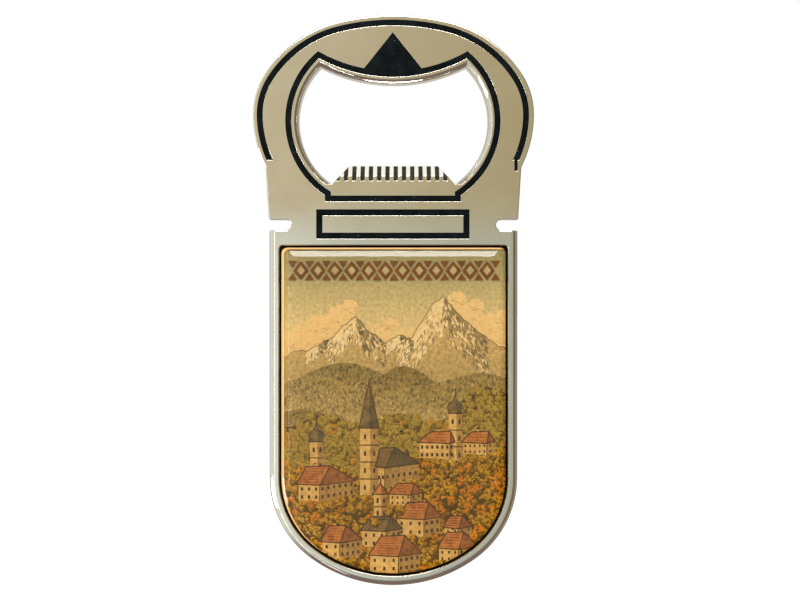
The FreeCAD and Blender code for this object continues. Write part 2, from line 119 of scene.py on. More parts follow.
class Shader(NodeTree):
    """A new material, with its surface node and the textures it is made from."""

    def __init__(self, name):
        self.material = bpy.data.materials.new(name)
        self.material.use_nodes = True
        super().__init__(self.material.node_tree)
        self.surface = self.tree.nodes["Principled BSDF"]
        self.output = self.tree.nodes["Material Output"]

    def place(self, stretch=(1, 1, 1)):
        """Object coordinates in metres, stretched along each axis."""
        mapping = self.node("Mapping")
        mapping.inputs["Scale"].default_value = stretch
        self.join(self.node("TexCoord").outputs["Object"], mapping.inputs["Vector"])
        return mapping.outputs["Vector"]

    def noise(self, size, detail=2.0, stretch=(1, 1, 1), roughness=0.5):
        """Noise whose features are about size metres wide."""
        texture = self.node("TexNoise")
        texture.inputs["Scale"].default_value = 1 / size
        texture.inputs["Detail"].default_value = detail
        texture.inputs["Roughness"].default_value = roughness
        self.join(self.place(stretch), texture.inputs["Vector"])
        return texture.outputs["Fac"]

    def bump(self, height, depth, strength=1.0, below=None):
        made = self.node("Bump")
        made.inputs["Strength"].default_value = strength
        made.inputs["Distance"].default_value = depth
        self.join(height, made.inputs["Height"])
        if below is not None:
            self.join(below, made.inputs["Normal"])
        return made.outputs["Normal"]

    def set(self, **values):
        for name, value in values.items():
            self.surface.inputs[name.replace("_", " ")].default_value = value


def grey(value):
    return (value, value, value, 1)


def srgb(red, green, blue):
    """A display colour, 0 to 255 each, as linear light."""
    def linear(value):
        value /= 255
        return value / 12.92 if value <= 0.04045 else ((value + 0.055) / 1.055) ** 2.4
    return (linear(red), linear(green), linear(blue))


def dress(node, material):
    """Give a CAD node its finished material, in every slot."""
    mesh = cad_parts[node].data
    if not mesh.materials:
        mesh.materials.append(material)
    for index in range(len(mesh.materials)):
        mesh.materials[index] = material


# ---------------------------------------------------------------- materials of the casting

def polished_plating():
    """Polished nickel over a zinc casting: soft waves, faint grain, painted shade in corners and recess
    floors.
    """
    m = Shader("polished_plating")
    tone = m.ramp(m.noise(9 * MM, 3), (0.35, (0.83, 0.79, 0.71)), (0.7, (0.89, 0.86, 0.79)))
    # Painted shade: ambient occlusion darkens the base colour to near black in corners and creases.
    painted_crevice_shade = m.node("AmbientOcclusion", samples=6)
    painted_crevice_shade.inputs["Distance"].default_value = 0.5 * MM
    painted_shade_factor = m.ramp(painted_crevice_shade.outputs["AO"], (0.34, 0.012), (0.6, 1.0))
    tone_with_painted_shade = m.mix(1.0, tone, painted_shade_factor, "MULTIPLY")
    # Painted shade: recess floors deep behind the front are painted near black.
    m.join(m.mix(painted_shade_floors(m), tone_with_painted_shade, grey(0.01)), m.surface.inputs["Base Color"])
    m.join(m.ramp(m.noise(1.5 * MM, 4), (0.3, 0.035), (0.75, 0.075)), m.surface.inputs["Roughness"])
    edges = m.node("Bevel", samples=10)
    edges.inputs["Radius"].default_value = 0.05 * MM
    waves = m.bump(m.noise(6 * MM, 1.5), 0.03 * MM, 0.22, below=edges.outputs["Normal"])
    grain = m.bump(m.noise(0.25 * MM, 3), 0.004 * MM, 0.5, below=waves)
    m.join(grain, m.surface.inputs["Normal"])
    m.set(Metallic=1.0)
    return m.material


def painted_shade_floors(m):
    """Where painted shade goes: 1 on floors that face the front from well below the front plane, and 0
    elsewhere.
    """
    shallowest, squarest = 0.6 * MM, -0.9
    position, facing = m.node("SeparateXYZ"), m.node("SeparateXYZ")
    m.join(m.place(), position.inputs["Vector"])
    m.join(m.node("NewGeometry").outputs["True Normal"], facing.inputs["Vector"])
    deep = m.math("GREATER_THAN", position.outputs["Y"], front_y + shallowest)
    forward = m.math("LESS_THAN", facing.outputs["Y"], squarest)
    return m.math("MULTIPLY", deep, forward)


def black_enamel():
    """Hard black enamel with a slightly wavy surface and a few specks of dust."""
    m = Shader("black_enamel")
    tone = m.ramp(m.noise(2.5 * MM, 3), (0.35, srgb(6, 9, 10)), (0.7, srgb(14, 20, 21)))
    specks = m.ramp(m.noise(0.35 * MM, 1), (0.76, 0.0), (0.8, 1.0))
    m.join(m.mix(specks, tone, (*srgb(120, 128, 126), 1)), m.surface.inputs["Base Color"])
    m.join(m.ramp(m.noise(1.2 * MM, 2), (0.3, 0.12), (0.8, 0.25)), m.surface.inputs["Roughness"])
    m.join(m.bump(m.noise(1.1 * MM, 2), 0.03 * MM, 0.5), m.surface.inputs["Normal"])
    m.set(Specular_IOR_Level=0.05)
    return m.material


def magnet_rubber():
    """Flexible magnet sheet: matt brown-black with fine rolled streaks."""
    m = Shader("magnet_rubber")
    streaks = m.noise(0.5 * MM, 4, stretch=(1, 1, 0.06))
    m.join(m.ramp(streaks, (0.3, srgb(46, 41, 38)), (0.75, srgb(66, 60, 56))),
           m.surface.inputs["Base Color"])
    m.join(m.ramp(m.noise(2 * MM, 3), (0.3, 0.55), (0.8, 0.75)), m.surface.inputs["Roughness"])
    m.join(m.bump(m.noise(0.2 * MM, 4), 0.02 * MM, 0.6), m.surface.inputs["Normal"])
    return m.material


def adhesive_film():
    m = Shader("adhesive_film")
    m.join(m.ramp(m.noise(1 * MM, 3), (0.3, srgb(214, 208, 190)), (0.7, srgb(232, 228, 214))),
           m.surface.inputs["Base Color"])
    m.set(Roughness=0.6)
    return m.material


def clear_resin():
    """Domed clear resin: see-through face on, mirror-like at a slant, and open to the lamps."""
    m = Shader("clear_resin")
    ripple = m.bump(m.noise(9 * MM, 1), 0.03 * MM, 0.3)
    fresnel = m.node("Fresnel")
    fresnel.inputs["IOR"].default_value = 1.56
    shine = m.node("BsdfGlossy")
    shine.inputs["Roughness"].default_value = 0.02
    through, unshaded = m.node("BsdfTransparent"), m.node("BsdfTransparent")
    through.inputs["Color"].default_value = (0.985, 0.98, 0.965, 1)
    seen, lit = m.node("MixShader"), m.node("MixShader")
    m.join(ripple, fresnel.inputs["Normal"])
    m.join(ripple, shine.inputs["Normal"])
    m.join(fresnel.outputs["Fac"], seen.inputs["Fac"])
    m.join(through.outputs["BSDF"], seen.inputs[1])
    m.join(shine.outputs["BSDF"], seen.inputs[2])
    m.join(m.node("LightPath").outputs["Is Shadow Ray"], lit.inputs["Fac"])
    m.join(seen.outputs["Shader"], lit.inputs[1])
    m.join(unshaded.outputs["BSDF"], lit.inputs[2])
    m.join(lit.outputs["Shader"], m.output.inputs["Surface"])
    m.tree.nodes.remove(m.surface)
    return m.material


def paper():
    """Base sheet of the print, in aged paper stock."""
    m = Shader("paper_stock")
    m.join(m.ramp(m.noise(0.3 * MM, 4), (0.3, srgb(170, 152, 104)), (0.7, srgb(188, 170, 122))),
           m.surface.inputs["Base Color"])
    m.set(Roughness=0.7)
    return m.material


enamel = black_enamel()
dress("opener_body", polished_plating())
for name in ("enamel_head_arc", "enamel_mouth_outline", "enamel_nameplate_frame"):
    dress(name, enamel)
dress("picture_print", paper())
dress("picture_dome", clear_resin())
dress("rear_magnet", magnet_rubber())
for name in ("picture_adhesive", "magnet_adhesive"):
    dress(name, adhesive_film())


# ---------------------------------------------------------------- printed picture

class Picture:
    """The printed landscape, drawn as thin raised inks on the print and clipped to its outline.

    Points are in millimetres: u to the right of the middle, v above the handle's tip. Every shape
    is a closed prism that stands on the print, and a later ink stands a little higher. Within an
    ink, neighbouring shapes differ by a fraction of a layer, so no two of their tops coincide.
    """
    LAYER = 0.004 * MM
    TIERS = 8
    # Points closer than this, in millimetres, are one point, and shapes smaller than it are dropped.
    SPECK = 1e-4

    def __init__(self, sheet):
        corners = {(round(p.co.x, 6), round(p.co.z, 6)) for p in sheet.data.vertices}
        self.outline = convex_hull([(x / MM, (z - handle_tip) / MM) for x, z in corners])
        self.paper_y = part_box(sheet.name)[0].y
        self.layer = 0

    def clipped(self, shape):
        """The part of a polygon inside the print's convex outline."""
        for start, end in zip(self.outline, self.outline[1:] + self.outline[:1]):
            def depth(point):
                return ((end[0] - start[0]) * (point[1] - start[1])
                        - (end[1] - start[1]) * (point[0] - start[0]))
            depths = [depth(point) for point in shape]
            if min(depths) >= 0:
                continue
            kept = []
            for i, point in enumerate(shape):
                last, last_depth = shape[i - 1], depths[i - 1]
                if (depths[i] >= 0) != (last_depth >= 0):
                    share = last_depth / (last_depth - depths[i])
                    kept.append((last[0] + share * (point[0] - last[0]),
                                 last[1] + share * (point[1] - last[1])))
                if depths[i] >= 0:
                    kept.append(point)
            shape = kept
            if len(shape) < 3:
                return []
        return [point for i, point in enumerate(shape) if math.dist(point, shape[i - 1]) > self.SPECK]

    def print_ink(self, name, shapes, material):
        """One ink: all its shapes at the next level, as one piece."""
        self.layer += 1
        points, faces = [], []
        for index, shape in enumerate(shapes):
            top = self.paper_y - (self.layer + index % self.TIERS / self.TIERS) * self.LAYER
            shape = self.clipped(shape)
            if len(shape) < 3 or abs(signed_area(shape)) < self.SPECK:
                continue
            if signed_area(shape) < 0:
                shape = shape[::-1]
            first, count = len(points), len(shape)
            for y in (top, self.paper_y):
                points += [(u * MM, y, handle_tip + v * MM) for u, v in shape]
            faces.append(tuple(range(first, first + count)))
            faces.append(tuple(range(first + 2 * count - 1, first + count - 1, -1)))
            for i in range(count):
                following = (i + 1) % count
                faces.append((first + following, first + i, first + count + i, first + count + following))
        mesh = bpy.data.meshes.new(name)
        mesh.from_pydata(points, [], faces)
        mesh.materials.append(material)
        piece = bpy.data.objects.new(name, mesh)
        bpy.context.scene.collection.objects.link(piece)
        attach(piece, "root")


def convex_hull(points):
    """The outline of a convex set of points, anticlockwise."""
    def half(ordered):
        chain = []
        for point in ordered:
            while len(chain) > 1 and turn(chain[-2], chain[-1], point) <= 0:
                chain.pop()
            chain.append(point)
        return chain[:-1]
    ordered = sorted(set(points))
    return half(ordered) + half(ordered[::-1])


def turn(a, b, c):
    return (b[0] - a[0]) * (c[1] - a[1]) - (b[1] - a[1]) * (c[0] - a[0])


def signed_area(shape):
    return sum(shape[i - 1][0] * p[1] - p[0] * shape[i - 1][1] for i, p in enumerate(shape)) / 2


# Each ink's colours are darkened to this share of their light, as a print looks under resin.
PRINT_TONE = 0.755

# The ground that the inks cover before they are clipped, in millimetres as for Picture.
PRINT_LEFT, PRINT_RIGHT, PRINT_FOOT, PRINT_TOP = -21.0, 21.0, 0.5, 63.0


def ink(name, dark, light, low=None, high=None, contrast=1.0, glow=0.0):
    """Printing ink with a stippled grain. With low and high, it grades from dark to light upwards."""
    dark, light = [tuple(PRINT_TONE * part for part in colour) for colour in (dark, light)]
    m = Shader(name)
    stipple = m.noise(0.62 * MM, 3, roughness=0.62)
    if low is None:
        cloudy = m.math("MULTIPLY_ADD", m.noise(2.6 * MM, 2), 0.35, stipple)
        middle, reach = 0.675, 0.16 / contrast
        colour = m.ramp(cloudy, (middle - reach, dark), (middle + reach, light))
    else:
        axes = m.node("SeparateXYZ")
        m.join(m.place(), axes.inputs["Vector"])
        height = m.span(axes.outputs["Z"], handle_tip + low * MM, handle_tip + high * MM)
        graded = m.ramp(height, (0.0, dark), (1.0, light))
        grain = m.ramp(stipple, (0.3, 1 - 0.5 * contrast), (0.68, 1 + 0.3 * contrast))
        colour = m.mix(1.0, graded, grain, "MULTIPLY")
    m.join(colour, m.surface.inputs["Base Color"])
    m.join(m.bump(stipple, 0.01 * MM, 0.4), m.surface.inputs["Normal"])
    # A glow is painted light: the ink emits its own colour, as if brightly lit.
    if glow:
        m.join(colour, m.surface.inputs["Emission Color"])
    m.set(Roughness=0.7, Specular_IOR_Level=0.06, Emission_Strength=glow)
    return m.material


def jagged(points, jag, chance, splits=4):
    """A broken line through the points, split in half again and again with smaller and smaller jags."""
    for _ in range(splits):
        finer = [points[0]]
        for begin, end in zip(points, points[1:]):
            middle = ((begin[0] + end[0]) / 2, (begin[1] + end[1]) / 2 + chance.uniform(-jag, jag))
            finer += [middle, end]
        points = finer
        jag *= 0.55
    return points


def height_at(line, u):
    for begin, end in zip(line, line[1:]):
        if begin[0] <= u <= end[0]:
            return begin[1] + (end[1] - begin[1]) * (u - begin[0]) / max(end[0] - begin[0], 1e-9)
    return line[-1][1]


def down_to(line, floor):
    return line + [(line[-1][0], floor), (line[0][0], floor)]


def stroke(u, v, length, angle, width):
    """A short pen stroke, widest in its middle."""
    along = (math.cos(angle), math.sin(angle))
    across = (-along[1], along[0])
    return [(u + length / 2 * a * along[0] + width / 2 * b * across[0],
             v + length / 2 * a * along[1] + width / 2 * b * across[1])
            for a, b in ((-1, 0), (0, -1), (1, 0), (0, 1))]


def puff(u, v, radius, chance, lobes=7, flat=1.0):
    """A scalloped blob, for a cloud, a crown or a clump of leaves."""
    points = []
    spin = chance.uniform(0, math.pi)
    for i in range(lobes * 3):
        angle = 2 * math.pi * i / (lobes * 3) + spin
        reach = radius * (1.0 if i % 3 else 0.84) * chance.uniform(0.93, 1.07)
        points.append((u + reach * math.cos(angle), v + reach * flat * math.sin(angle)))
    return points


def draw_sky(picture, chance):
    whole = [(PRINT_LEFT, PRINT_FOOT), (PRINT_RIGHT, PRINT_FOOT),
             (PRINT_RIGHT, PRINT_TOP), (PRINT_LEFT, PRINT_TOP)]
    picture.print_ink("ink_sky", [whole],
                      ink("sky_ink", srgb(240, 206, 134), srgb(164, 150, 94), 43, 61, contrast=0.5))
    # Banks of cloud: where each lies across and up, and its size.
    banks = ((-20.0, 42.6, 3.6), (-16.6, 45.2, 3.3), (-14.0, 48.0, 2.3), (-11.2, 45.6, 3.4),
             (-10.0, 49.6, 2.5), (-8.0, 51.4, 1.6), (-2.6, 46.0, 2.4), (-0.4, 48.0, 1.5),
             (3.6, 45.4, 2.6), (12.8, 49.6, 3.0), (11.8, 52.8, 1.8), (15.2, 51.4, 1.6),
             (16.4, 47.6, 3.2), (19.6, 45.6, 3.4), (20.4, 49.4, 1.8))
    clouds = [puff(u, v, size, chance, 8, 0.85) for u, v, size in banks]
    picture.print_ink("ink_clouds", clouds,
                      ink("cloud_ink", srgb(232, 188, 114), srgb(240, 198, 126), 40, 52, contrast=0.3))
    wisps = [stroke(u + chance.uniform(-size, size) * 0.8, v - size * chance.uniform(0.1, 0.7),
                    chance.uniform(0.5, 1.3), chance.uniform(-0.3, 0.3), 0.2)
             for u, v, size in banks for _ in range(9)]
    picture.print_ink("ink_cloud_shading", wisps,
                      ink("cloud_shade_ink", srgb(196, 156, 92), srgb(214, 172, 104)))


def pen_line(line, width):
    """Strokes along a broken line, each a little longer than its part."""
    return [stroke((a[0] + b[0]) / 2, (a[1] + b[1]) / 2, math.dist(a, b) * 1.7,
                   math.atan2(b[1] - a[1], b[0] - a[0]), width) for a, b in zip(line, line[1:])]


def draw_peaks(picture, chance):
    """A range of snowy peaks: rock, snow on the lit sides, shaded ribs, and pen strokes down the slopes."""
    ridge = jagged([(-21.0, 41.4), (-17.5, 43.2), (-13.8, 44.2), (-10.4, 46.6), (-6.9, 49.6), (-4.8, 47.0),
                    (-1.6, 44.6), (1.2, 46.2), (3.4, 45.6), (6.2, 50.2), (9.0, 53.2), (11.6, 50.4),
                    (14.6, 47.6), (17.6, 45.2), (21.0, 43.6)], 0.5, chance)
    picture.print_ink("ink_peaks", [down_to(ridge, 33.0)],
                      ink("peak_ink", srgb(192, 158, 90), srgb(212, 174, 102), 38, 50, contrast=0.8))
    caps, flanks, snow, shade, dark, glints = [], [], [], [], [], []
    # Four summits of the ridge, and how far the snow reaches to each side of them.
    summits = ((-6.9, 49.6, 5.4), (9.0, 53.2, 8.4), (1.2, 46.2, 2.4), (-13.8, 44.2, 2.2))
    for summit_u, summit_v, reach in summits:
        def snow_depth(u):
            return reach * (0.14 + 0.46 * (1 - abs(u - summit_u) / reach)) * chance.uniform(0.7, 1.25)
        slope = [(u, v) for u, v in ridge if abs(u - summit_u) < reach]
        caps.append(slope + [(u, v - snow_depth(u)) for u, v in reversed(slope)])
        lee = [(u, v) for u, v in slope if u >= summit_u + 0.1]
        flanks.append(lee[2:] + [(u - 0.1 * reach, v - 0.9 * snow_depth(u)) for u, v in reversed(lee[2:])])
        for _ in range(int(44 * reach)):
            u = summit_u + chance.uniform(-reach, reach)
            crest = height_at(ridge, u)
            v = crest - chance.uniform(0.25, 0.2 + reach * 0.8)
            lean = math.atan2(summit_v + 1.5 - v, summit_u - u) + chance.uniform(-0.4, 0.4)
            length = chance.uniform(0.5, 1.4)
            right_side = u > summit_u + (summit_v - v) * 0.18
            if right_side and chance.random() < 0.4:
                shade.append(stroke(u, v, length * 1.3, lean, chance.uniform(0.3, 0.55)))
            elif chance.random() < 0.8 - 0.3 * (crest - v) / reach:
                snow.append(stroke(u, v, length * 1.2, lean, chance.uniform(0.26, 0.48)))
            if chance.random() < 0.42:
                dark.append(stroke(u + 0.2, v, length, lean, chance.uniform(0.14, 0.24)))
            elif not right_side:
                glints.append(stroke(u - 0.1, v - 0.1, length, lean, 0.26))
    picture.print_ink("ink_snow_caps", caps, ink("cap_ink", srgb(222, 184, 112), srgb(248, 212, 142)))
    picture.print_ink("ink_lee_slopes", flanks, ink("lee_ink", srgb(146, 120, 68), srgb(176, 146, 86)))
    picture.print_ink("ink_snow", snow, ink("snow_ink", srgb(236, 198, 128), srgb(255, 224, 158)))
    picture.print_ink("ink_rock_shade", shade,
                      ink("rock_shade_ink", srgb(134, 112, 68), srgb(160, 132, 78)))
    picture.print_ink("ink_rock_lines", dark, ink("rock_line_ink", srgb(106, 90, 56), srgb(134, 112, 68)))
    picture.print_ink("ink_snow_glints", glints, ink("glint_ink", srgb(236, 202, 138), srgb(250, 220, 160)))
    picture.print_ink("ink_ridge_line", pen_line(ridge, 0.2),
                      ink("ridge_line_ink", srgb(100, 86, 54), srgb(128, 108, 66)))


def hill_line(bumps, base, chance, jag=0.12):
    """A rolling skyline: a base height with rounded bumps at given places."""
    line = []
    for step in range(85):
        u = PRINT_LEFT + step * 0.5
        v = base + sum(height * math.exp(-((u - middle) / width) ** 2) for middle, height, width in bumps)
        line.append((u, v + chance.uniform(-jag, jag)))
    return line


def draw_hills(picture, chance):
    """Wooded foothills, each with short strokes that follow its slopes."""
    hills = (
        ("far_hill", [(-9.0, 5.4, 10.0), (16.0, 3.6, 8.0)], 35.6, (190, 156, 84), (142, 116, 56)),
        ("round_hill", [(2.0, 8.4, 8.6), (21.0, 2.0, 5.0)], 32.0, (196, 162, 90), (136, 108, 46)),
        ("low_hill", [(-17.0, 2.8, 7.0), (18.0, 6.4, 6.5)], 29.6, (172, 138, 66), (134, 104, 42)),
    )
    for name, bumps, base, foot, crown in hills:
        line = hill_line(bumps, base, chance)
        top, contrast = max(v for _, v in line), 0.8
        picture.print_ink(f"ink_{name}", [down_to(line, PRINT_FOOT)],
                          ink(f"{name}_ink", srgb(*foot), srgb(*crown), base - 4, top, contrast=contrast))
        dark, bright = [], []
        for _ in range(1000):
            u = chance.uniform(-20.6, 20.6)
            ground = height_at(line, u)
            v = ground - chance.uniform(0.1, 9.0)
            fall = math.atan2(height_at(line, u + 0.4) - ground, 0.4)
            lean = fall + math.pi / 2 + chance.uniform(-0.6, 0.6)
            target = dark if chance.random() < 0.62 - 0.03 * (ground - v) else bright
            target.append(stroke(u, v, chance.uniform(0.5, 0.95), lean, chance.uniform(0.26, 0.4)))
        for part, shapes, tone in (("strokes", dark, 0.72), ("lights", bright, 1.16)):
            low_tone, high_tone = [srgb(*[tone * value for value in colour]) for colour in (foot, crown)]
            picture.print_ink(f"ink_{name}_{part}", shapes,
                              ink(f"{name}_{part}_ink", low_tone, high_tone, base - 4, top,
                                  contrast=contrast))


class Wood:
    """Leafy trees: a dark crown, clumps of foliage over it, and lit leaves towards the upper left."""
    # How far a clump lies to the lower right, in tree sizes: hollows are beyond it, or lit leaves within.
    HOLLOW_FROM, LIT_TO = 0.75, 0.3

    def __init__(self):
        self.crowns, self.clumps, self.leaves, self.rusts, self.hollows = [], [], [], [], []

    def tree(self, u, v, size, chance, autumn):
        self.crowns.append(puff(u, v, size, chance, 8, 1.0))
        leaves = self.rusts if chance.random() < autumn else self.leaves
        for _ in range(int(8 + 10 * size)):
            angle = chance.uniform(0, 2 * math.pi)
            reach = size * 0.85 * math.sqrt(chance.random())
            clump_u = u - 0.08 * size + reach * math.cos(angle)
            clump_v = v + 0.1 * size + reach * math.sin(angle)
            radius = chance.uniform(0.24, 0.44)
            shadow = (clump_u - u) - (clump_v - v)
            if shadow > self.HOLLOW_FROM * size:
                self.hollows.append(stroke(clump_u, clump_v, radius * 1.6, chance.uniform(0.3, 1.2),
                                           radius * 0.6))
                continue
            self.clumps.append(puff(clump_u, clump_v, radius, chance, 4, 0.8))
            if shadow < self.LIT_TO * size:
                for _ in range(3):
                    leaves.append(stroke(clump_u + chance.uniform(-0.7, 0.4) * radius,
                                         clump_v + chance.uniform(-0.2, 0.9) * radius,
                                         chance.uniform(0.25, 0.45), chance.uniform(-0.4, 1.4), 0.22))

    def print_all(self, picture, name, inks):
        for part, shapes in (("crowns", self.crowns), ("clumps", self.clumps), ("hollows", self.hollows),
                             ("leaves", self.leaves), ("rusts", self.rusts)):
            if shapes:
                picture.print_ink(f"ink_{name}_{part}", shapes, inks[part])


def forest(low, top_at, spacing, chance, autumn_at):
    """Trees on a shaken grid from a skyline down to a low edge, evenly spread."""
    wood = Wood()
    rise = spacing * 0.88
    highest = 38.0
    for row in range(int((highest - low) / rise) + 1):
        for column in range(int((PRINT_RIGHT - PRINT_LEFT) / spacing) + 1):
            u = PRINT_LEFT + (column + 0.5 * (row % 2)) * spacing + chance.uniform(-0.22, 0.22) * spacing
            v = low + row * rise + chance.uniform(-0.2, 0.2) * spacing
            if v < top_at(u):
                wood.tree(u, v, spacing * chance.uniform(0.5, 0.75), chance, autumn_at(u, v))
    return wood


class Village:
    """Buildings of one depth: plastered walls, tiled roofs, windows and pen lines."""

    def __init__(self):
        self.lit, self.shaded, self.tiles, self.slates = [], [], [], []
        self.tile_shade, self.slate_shade, self.openings, self.lines, self.tile_rows = [], [], [], [], []

    def pen(self, begin, end, width=0.18):
        middle = ((begin[0] + end[0]) / 2, (begin[1] + end[1]) / 2)
        length = math.dist(begin, end)
        angle = math.atan2(end[1] - begin[1], end[0] - begin[0])
        along = (math.cos(angle) * length / 2, math.sin(angle) * length / 2)
        across = (-math.sin(angle) * width / 2, math.cos(angle) * width / 2)
        self.lines.append([(middle[0] + a * along[0] + b * across[0],
                            middle[1] + a * along[1] + b * across[1])
                           for a, b in ((-1, -1), (1, -1), (1, 1), (-1, 1))])

    def windows(self, u, v, width, height, columns, rows, lean=0.0, size=0.34):
        """A grid of upright windows on a wall whose far side rises by lean."""
        for row in range(rows):
            for column in range(columns):
                share = (column + 0.5) / columns
                x = u + width * share
                y = v + height * (row + 0.62) / (rows + 0.25) + lean * share
                half = size / 2
                self.openings.append([(x - half, y - size * 0.75), (x + half, y - size * 0.75),
                                      (x + half, y + size * 0.75), (x - half, y + size * 0.75)])

    def roof_rows(self, eave_left, eave_right, ridge_left, ridge_right, rows):
        """Rows of tiles, drawn as thin lines between eave and ridge."""
        for row in range(1, rows):
            share = row / rows
            begin = [a + (b - a) * share for a, b in zip(eave_left, ridge_left)]
            end = [a + (b - a) * share for a, b in zip(eave_right, ridge_right)]
            middle = ((begin[0] + end[0]) / 2, (begin[1] + end[1]) / 2)
            angle = math.atan2(end[1] - begin[1], end[0] - begin[0])
            self.tile_rows.append(stroke(*middle, math.dist(begin, end) * 0.96, angle, 0.2))

    def house(self, u, v, front, side, wall, roof, columns=3, rows=2, slate=False, chimneys=1):
        """A hipped house seen from its corner; (u, v) is the foot of the corner between its walls."""
        rise = side * 0.22
        eave = 0.35
        self.lit.append([(u - front, v + front * 0.06), (u, v), (u, v + wall), (u - front, v + wall)])
        self.shaded.append([(u, v), (u + side, v + rise), (u + side, v + wall + rise * 0.5), (u, v + wall)])
        left = (u - front - eave, v + wall)
        corner = (u + 0.05, v + wall - 0.25)
        right = (u + side + eave, v + wall + rise * 0.45)
        ridge_left = (u - front * 0.62, v + wall + roof)
        ridge_right = (u + side * 0.30, v + wall + roof * 1.04)
        cover, shade = (self.slates, self.slate_shade) if slate else (self.tiles, self.tile_shade)
        cover.append([left, corner, ridge_right, ridge_left])
        shade.append([corner, right, ridge_right])
        self.roof_rows(left, corner, ridge_left, ridge_right, max(3, int(roof / 0.42)))
        edges = ((left, corner), (corner, right), (corner, ridge_right), (ridge_left, ridge_right),
                 (left, ridge_left), (ridge_right, right))
        for begin, end in edges:
            self.pen(begin, end, 0.22)
        self.pen((u, v), (u, v + wall), 0.16)
        self.windows(u - front, v, front, wall, columns, rows, size=min(0.42, wall * 0.13))
        self.windows(u, v, side, wall, max(1, round(side / 1.1)), rows, lean=rise * 0.7,
                     size=min(0.42, wall * 0.13))
        for index in range(chimneys):
            x = ridge_left[0] + (ridge_right[0] - ridge_left[0]) * (0.3 + 0.45 * index)
            y = v + wall + roof
            self.lit.append([(x, y - 0.2), (x + 0.4, y - 0.2), (x + 0.4, y + 0.55), (x, y + 0.55)])
            self.pen((x - 0.05, y + 0.55), (x + 0.45, y + 0.55), 0.2)

    def tower(self, u, v, width, height, cap, storeys=3):
        """A square tower, half lit and half shaded; cap is spire, onion or tent."""
        middle = u + width * 0.56
        self.lit.append([(u, v), (middle, v), (middle, v + height), (u, v + height)])
        self.shaded.append([(middle, v), (u + width, v), (u + width, v + height), (middle, v + height)])
        for storey in range(storeys + 1):
            level = v + height * storey / storeys
            self.pen((u - 0.1, level), (u + width + 0.1, level), 0.2)
        for storey in range(storeys):
            level = v + height * (storey + 0.5) / storeys
            for x in (u + width * 0.28, u + width * 0.78):
                self.openings.append([(x - 0.2, level - 0.45), (x + 0.2, level - 0.45),
                                      (x + 0.2, level + 0.3), (x, level + 0.55), (x - 0.2, level + 0.3)])
        top = v + height
        centre = u + width / 2
        if cap == "spire":
            tip = (centre, top + width * 2.5)
            self.slates.append([(u - 0.15, top), (centre + 0.1, top), tip])
            self.slate_shade.append([(centre + 0.1, top), (u + width + 0.15, top), tip])
            self.pen((u - 0.15, top), tip, 0.2)
            self.pen((u + width + 0.15, top), tip, 0.2)
        elif cap == "tent":
            tip = (centre, top + width * 0.85)
            self.tiles.append([(u - 0.3, top), (centre + 0.2, top), tip])
            self.tile_shade.append([(centre + 0.2, top), (u + width + 0.3, top), tip])
            self.pen((u - 0.3, top), tip, 0.22)
            self.pen((u + width + 0.3, top), tip, 0.22)
        else:
            # Half the onion's outline, in tower widths: out from its middle, and up.
            profile = [(0.56, 0.0), (0.42, 0.2), (0.62, 0.55), (0.5, 0.95),
                       (0.2, 1.2), (0.06, 1.6), (0.0, 2.0)]
            left = [(centre - a * width, top + b * width * 0.75) for a, b in profile]
            right = [(centre + a * width, top + b * width * 0.75) for a, b in profile]
            self.slates.append(left + right[::-1])
            self.slate_shade.append([(centre + 0.1 * width, top)] + right)
            for begin, end in zip(left, left[1:]):
                self.pen(begin, end, 0.2)
            tip = left[-1]
        self.pen(tip, (tip[0], tip[1] + 0.9), 0.2)

    def print_all(self, picture, name, inks):
        for part, shapes in (("walls", self.lit), ("shaded_walls", self.shaded),
                             ("tiles", self.tiles), ("slates", self.slates),
                             ("roof_shade", self.tile_shade), ("slate_shade", self.slate_shade),
                             ("tile_rows", self.tile_rows), ("windows", self.openings),
                             ("lines", self.lines)):
            if shapes:
                picture.print_ink(f"ink_{name}_{part}", shapes, inks[part])


def village_inks():
    return {
        "walls": ink("wall_ink", srgb(204, 154, 74), srgb(234, 186, 102)),
        "shaded_walls": ink("shaded_wall_ink", srgb(150, 110, 50), srgb(190, 144, 72)),
        "tiles": ink("tile_ink", srgb(172, 98, 36), srgb(212, 134, 60)),
        "slates": ink("slate_ink", srgb(104, 82, 42), srgb(144, 116, 64)),
        "roof_shade": ink("roof_shade_ink", srgb(124, 72, 28), srgb(164, 102, 46)),
        "slate_shade": ink("slate_shade_ink", srgb(84, 68, 36), srgb(116, 94, 52)),
        "tile_rows": ink("tile_row_ink", srgb(126, 70, 28), srgb(158, 92, 40)),
        "windows": ink("window_ink", srgb(70, 44, 18), srgb(96, 62, 28)),
        "lines": ink("pen_ink", srgb(76, 48, 20), srgb(104, 68, 30)),
    }


def wood_inks(prefix, shade, foliage, light, rust):
    """Inks for a wood, each given by its darker tone; the lighter one is a fixed step up."""
    def pair(part, tone):
        return ink(f"{prefix}_{part}_ink", srgb(*tone), srgb(*[1.22 * value + 4 for value in tone]))
    return {"crowns": pair("crown", shade), "clumps": pair("clump", foliage),
            "hollows": pair("hollow", shade), "leaves": pair("leaf", light), "rusts": pair("rust", rust)}


